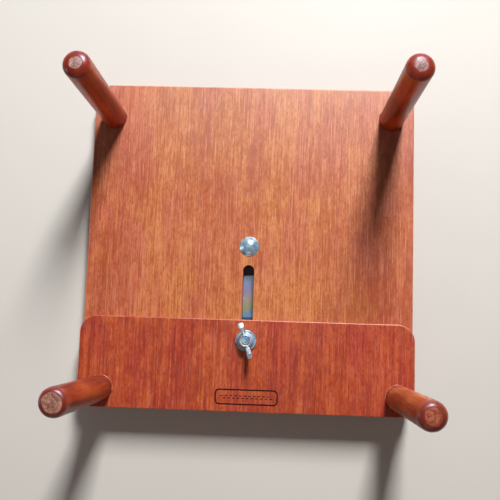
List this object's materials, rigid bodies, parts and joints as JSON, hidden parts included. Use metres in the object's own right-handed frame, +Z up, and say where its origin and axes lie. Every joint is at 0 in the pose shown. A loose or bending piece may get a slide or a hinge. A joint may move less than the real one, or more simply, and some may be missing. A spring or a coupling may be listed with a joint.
{
  "type": "peg loom",
  "caption": "Tabletop hand loom: a square wooden board with tall fixed pegs and a pegged plate that slides along a slot and is clamped by a wing nut.",
  "frame": {"origin": "on the surface that the feet stand on, under the middle of the base board", "axes": "+Z up out of the board, +Y from the sliding plate towards the fixed pegs, +X to the right"},
  "size_m": [0.254, 0.254, 0.1435],
  "materials": {
    "board_wood": "orange-brown stained veneer plywood under satin lacquer",
    "plate_wood": "redder stained veneer plywood under satin lacquer",
    "peg_wood": "dark reddish-brown stained dowel under satin lacquer",
    "zinc_steel": "bright zinc plate",
    "bright_strip": "mirror-bright flat strip",
    "foot_rubber": "matt black"
  },
  "bodies": {
    "base": {"base_board": "board_wood", "upper_left_peg": "peg_wood", "upper_right_peg": "peg_wood", "stop_bolt": "zinc_steel", "stop_nut": "zinc_steel", "upper_left_foot": "foot_rubber", "upper_right_foot": "foot_rubber", "lower_left_foot": "foot_rubber", "lower_right_foot": "foot_rubber", "foot_washers": "zinc_steel", "foot_screws": "zinc_steel"},
    "clamp": {"clamp_bolt": "zinc_steel", "backing_strip": "bright_strip"},
    "plate": {"sliding_plate": "plate_wood", "lower_left_peg": "peg_wood", "lower_right_peg": "peg_wood"},
    "washer": {"clamp_washer": "zinc_steel"},
    "nut": {"wing_nut": "zinc_steel"}
  },
  "joints": [
    {"name": "plate_slide", "type": "slide", "parent": "base", "child": "clamp", "axis": [0, 1, 0], "range_m": [-0.03, 0.048]},
    {"name": "plate_swivel", "type": "hinge", "parent": "clamp", "child": "plate", "pos_m": [0, -0.0737, 0.01655], "axis": [0, 0, 1], "range_deg": [-12, 12]},
    {"name": "wing_nut_turn", "type": "hinge", "parent": "clamp", "child": "washer", "pos_m": [0, -0.0737, 0.0262], "axis": [0, 0, 1], "range_deg": [0, 720]},
    {"name": "wing_nut_lift", "type": "slide", "parent": "washer", "child": "nut", "axis": [0, 0, 1], "range_m": [0, 0.00254]}
  ],
  "couplings": [
    {"joint": "wing_nut_lift", "follows": "wing_nut_turn", "m_per_rad": 0.00020213}
  ]
}
